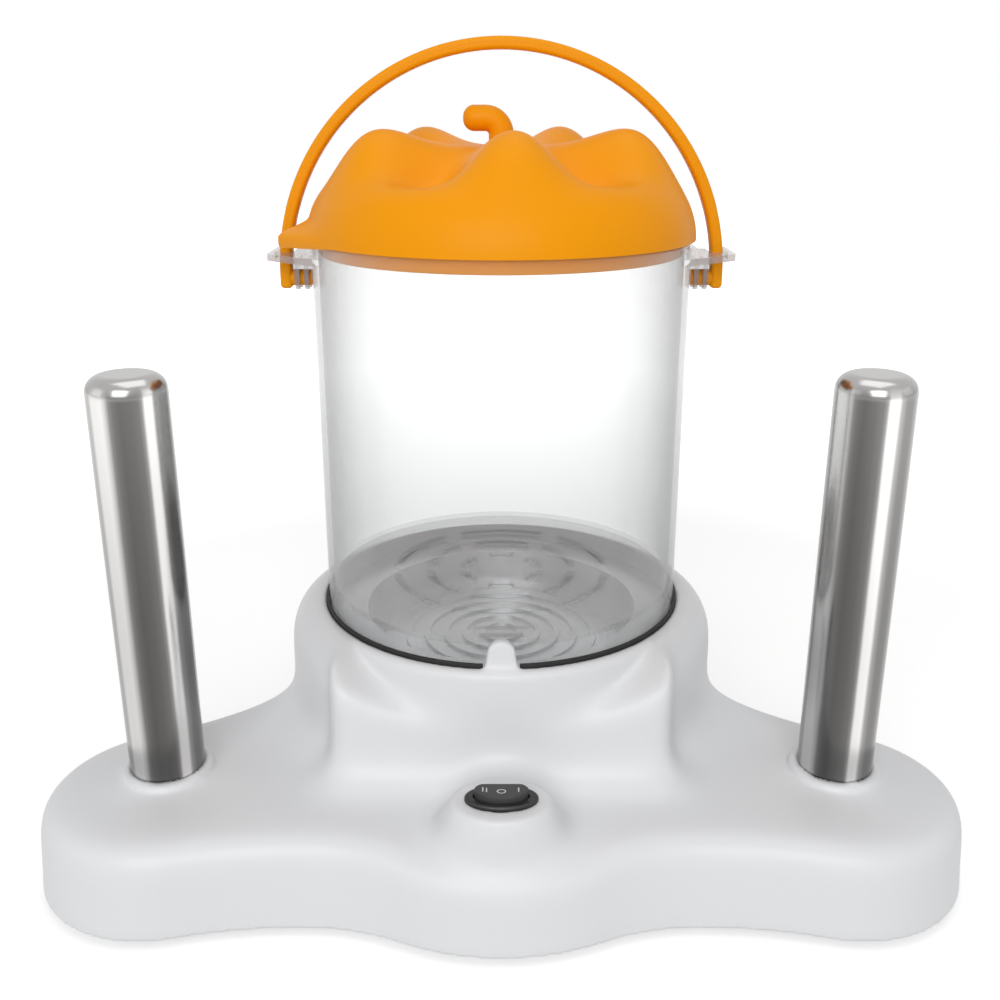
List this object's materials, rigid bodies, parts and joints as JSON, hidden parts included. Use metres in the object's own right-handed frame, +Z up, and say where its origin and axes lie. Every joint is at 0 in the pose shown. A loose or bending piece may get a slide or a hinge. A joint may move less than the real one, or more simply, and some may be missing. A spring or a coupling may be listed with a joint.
{
  "type": "hot dog maker",
  "caption": "Electric hot dog maker with a clear steaming jar under a pumpkin-shaped lid, carrying bail and upright bun-warming rods on a lobed base.",
  "frame": {"origin": "on the floor, at the middle of the base's length and depth", "axes": "+X to the right, +Y to the back, +Z up"},
  "size_m": [0.352, 0.221, 0.3057],
  "materials": {
    "housing_white": "satin moulded polypropylene",
    "cover_grey": "textured moulded plastic",
    "foot_rubber": "matt rubber",
    "screw_zinc": "bright zinc",
    "seal_black": "matt silicone",
    "pan_steel": "pressed stainless steel",
    "plain_steel": "plain sheet steel",
    "disc_aluminium": "cast aluminium",
    "element_steel": "annealed steel sheath",
    "rod_steel": "polished stainless tube",
    "heater_ceramic": "steel cartridge on a ceramic foot",
    "switch_black": "satin moulded nylon",
    "contact_brass": "bright brass",
    "block_cream": "moulded nylon",
    "gland_black": "matt moulded rubber",
    "lead_white": "silicone insulation",
    "container_clear": "clear moulded styrene",
    "lid_orange": "satin moulded polypropylene",
    "bail_orange": "satin moulded polypropylene"
  },
  "bodies": {
    "base": {"base_housing": "housing_white", "bottom_cover": "cover_grey", "foot_left_front": "foot_rubber", "foot_right_front": "foot_rubber", "foot_left_rear": "foot_rubber", "foot_right_rear": "foot_rubber", "cover_screws": "screw_zinc", "plate_seal": "seal_black", "heating_pan": "pan_steel", "pan_retaining_ring": "plain_steel", "pan_nuts": "screw_zinc", "heater_disc": "disc_aluminium", "heating_element": "element_steel", "element_clamp": "plain_steel", "element_clamp_screws": "screw_zinc", "thermostat": "block_cream", "thermostat_screws": "screw_zinc", "thermal_fuse": "block_cream", "fuse_clip": "plain_steel", "fuse_screws": "screw_zinc", "left_rod": "rod_steel", "right_rod": "rod_steel", "left_rod_seal": "seal_black", "right_rod_seal": "seal_black", "left_rod_heater": "heater_ceramic", "right_rod_heater": "heater_ceramic", "left_clamp_plate": "plain_steel", "right_clamp_plate": "plain_steel", "rod_clamp_screws": "screw_zinc", "switch_body": "switch_black", "switch_terminals": "contact_brass", "terminal_block": "block_cream", "terminal_screws": "contact_brass", "cord_gland": "gland_black", "cord_clamp": "block_cream", "cord_clamp_screws": "screw_zinc", "left_rod_leads": "lead_white", "right_rod_leads": "lead_white"},
    "container": {"container": "container_clear"},
    "lid": {"lid": "lid_orange", "lid_stem": "lid_orange", "stem_screw": "screw_zinc"},
    "bail": {"bail_handle": "bail_orange"},
    "rocker": {"rocker": "switch_black"}
  },
  "joints": [
    {"name": "container_lift", "type": "slide", "parent": "base", "child": "container", "axis": [0, 0, 1], "range_m": [0, 0.15]},
    {"name": "lid_lift", "type": "slide", "parent": "container", "child": "lid", "axis": [0, 0, 1], "range_m": [0, 0.006]},
    {"name": "bail_swing", "type": "hinge", "parent": "container", "child": "bail", "pos_m": [0, 0.019, 0.2183], "axis": [1, 0, 0], "range_deg": [-95, 20]},
    {"name": "rocker_tilt", "type": "hinge", "parent": "base", "child": "rocker", "pos_m": [0, -0.0883, 0.052], "axis": [0, 1, 0], "range_deg": [-9, 9]}
  ]
}
